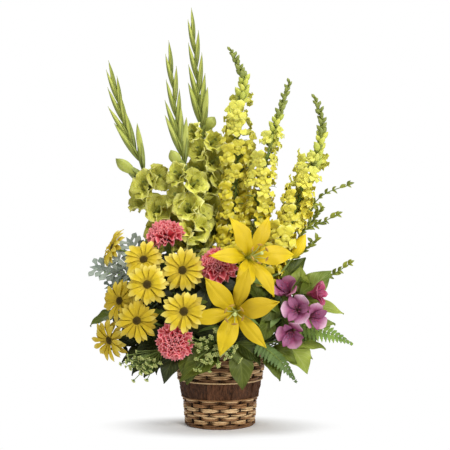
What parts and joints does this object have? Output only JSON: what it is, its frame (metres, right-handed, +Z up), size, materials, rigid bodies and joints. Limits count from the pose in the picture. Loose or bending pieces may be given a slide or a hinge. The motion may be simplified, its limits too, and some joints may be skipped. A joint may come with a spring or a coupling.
{
  "type": "flower basket arrangement",
  "caption": "Round woven basket of cut flowers: gladioli, snapdragons, lilies, daisies, carnations, alstroemerias and foliage in wet foam.",
  "frame": {"origin": "centre of the basket's round foot, on the surface it stands on", "axes": "+Z up along the basket's axis; -Y towards the front of the arrangement, where the lilies face; +X to the viewer's right"},
  "size_m": [0.4656, 0.3241, 0.7386],
  "materials": {
    "wicker": "matte dried willow, light tan",
    "bark": "rough dark brown bark",
    "liner": "matte dark green",
    "foam": "matte porous wet floral foam",
    "gladiolus": "soft satin chartreuse petals and buds on a green stem",
    "snapdragon": "soft matte yellow florets",
    "lily": "soft satin golden yellow petals",
    "carnation": "soft matte coral pink petals",
    "daisy": "soft matte yellow rays",
    "alstroemeria": "soft satin mauve petals",
    "stem": "satin green plant stem",
    "salal": "glossy dark green leaf",
    "fern": "matte mid green frond",
    "sprig": "matte yellow-green leaf",
    "silver_leaf": "felted silver-grey leaf"
  },
  "bodies": {
    "root": {"basket_base": "wicker", "basket_lower_weave": "wicker", "basket_bark_band": "bark", "basket_upper_weave": "wicker", "basket_rim": "bark", "pot_liner": "liner", "floral_foam": "foam", "gladiolus_left": "gladiolus", "gladiolus_middle": "gladiolus", "gladiolus_right": "gladiolus", "snapdragon_left": "snapdragon", "snapdragon_middle": "snapdragon", "snapdragon_right": "snapdragon", "lily_bloom_upper": "lily", "lily_bloom_lower": "lily", "lily_bud": "lily", "lily_stem_upper": "stem", "lily_stem_lower": "stem", "carnation_bloom_1": "carnation", "carnation_bloom_2": "carnation", "carnation_bloom_3": "carnation", "carnation_stem_1": "stem", "carnation_stem_2": "stem", "carnation_stem_3": "stem", "daisy_bloom_1": "daisy", "daisy_bloom_2": "daisy", "daisy_bloom_3": "daisy", "daisy_bloom_4": "daisy", "daisy_bloom_5": "daisy", "daisy_bloom_6": "daisy", "daisy_bloom_7": "daisy", "daisy_bloom_8": "daisy", "daisy_spray_1": "stem", "daisy_spray_2": "stem", "daisy_spray_3": "stem", "alstroemeria_bloom_1": "alstroemeria", "alstroemeria_bloom_2": "alstroemeria", "alstroemeria_bloom_3": "alstroemeria", "alstroemeria_bloom_4": "alstroemeria", "alstroemeria_bloom_5": "alstroemeria", "alstroemeria_stem": "stem", "salal_front_left": "salal", "salal_front_right": "salal", "salal_low_left": "salal", "salal_left": "salal", "salal_right": "salal", "salal_low_right": "salal", "salal_back_left": "salal", "salal_back_right": "salal", "fern_right": "fern", "fern_low_right": "fern", "fern_left": "fern", "fern_back_left": "fern", "fern_back_right": "fern", "sprig_upper_right": "sprig", "sprig_right": "sprig", "dusty_miller": "silver_leaf", "bupleurum_front": "sprig", "bupleurum_left": "sprig"}
  },
  "joints": []
}
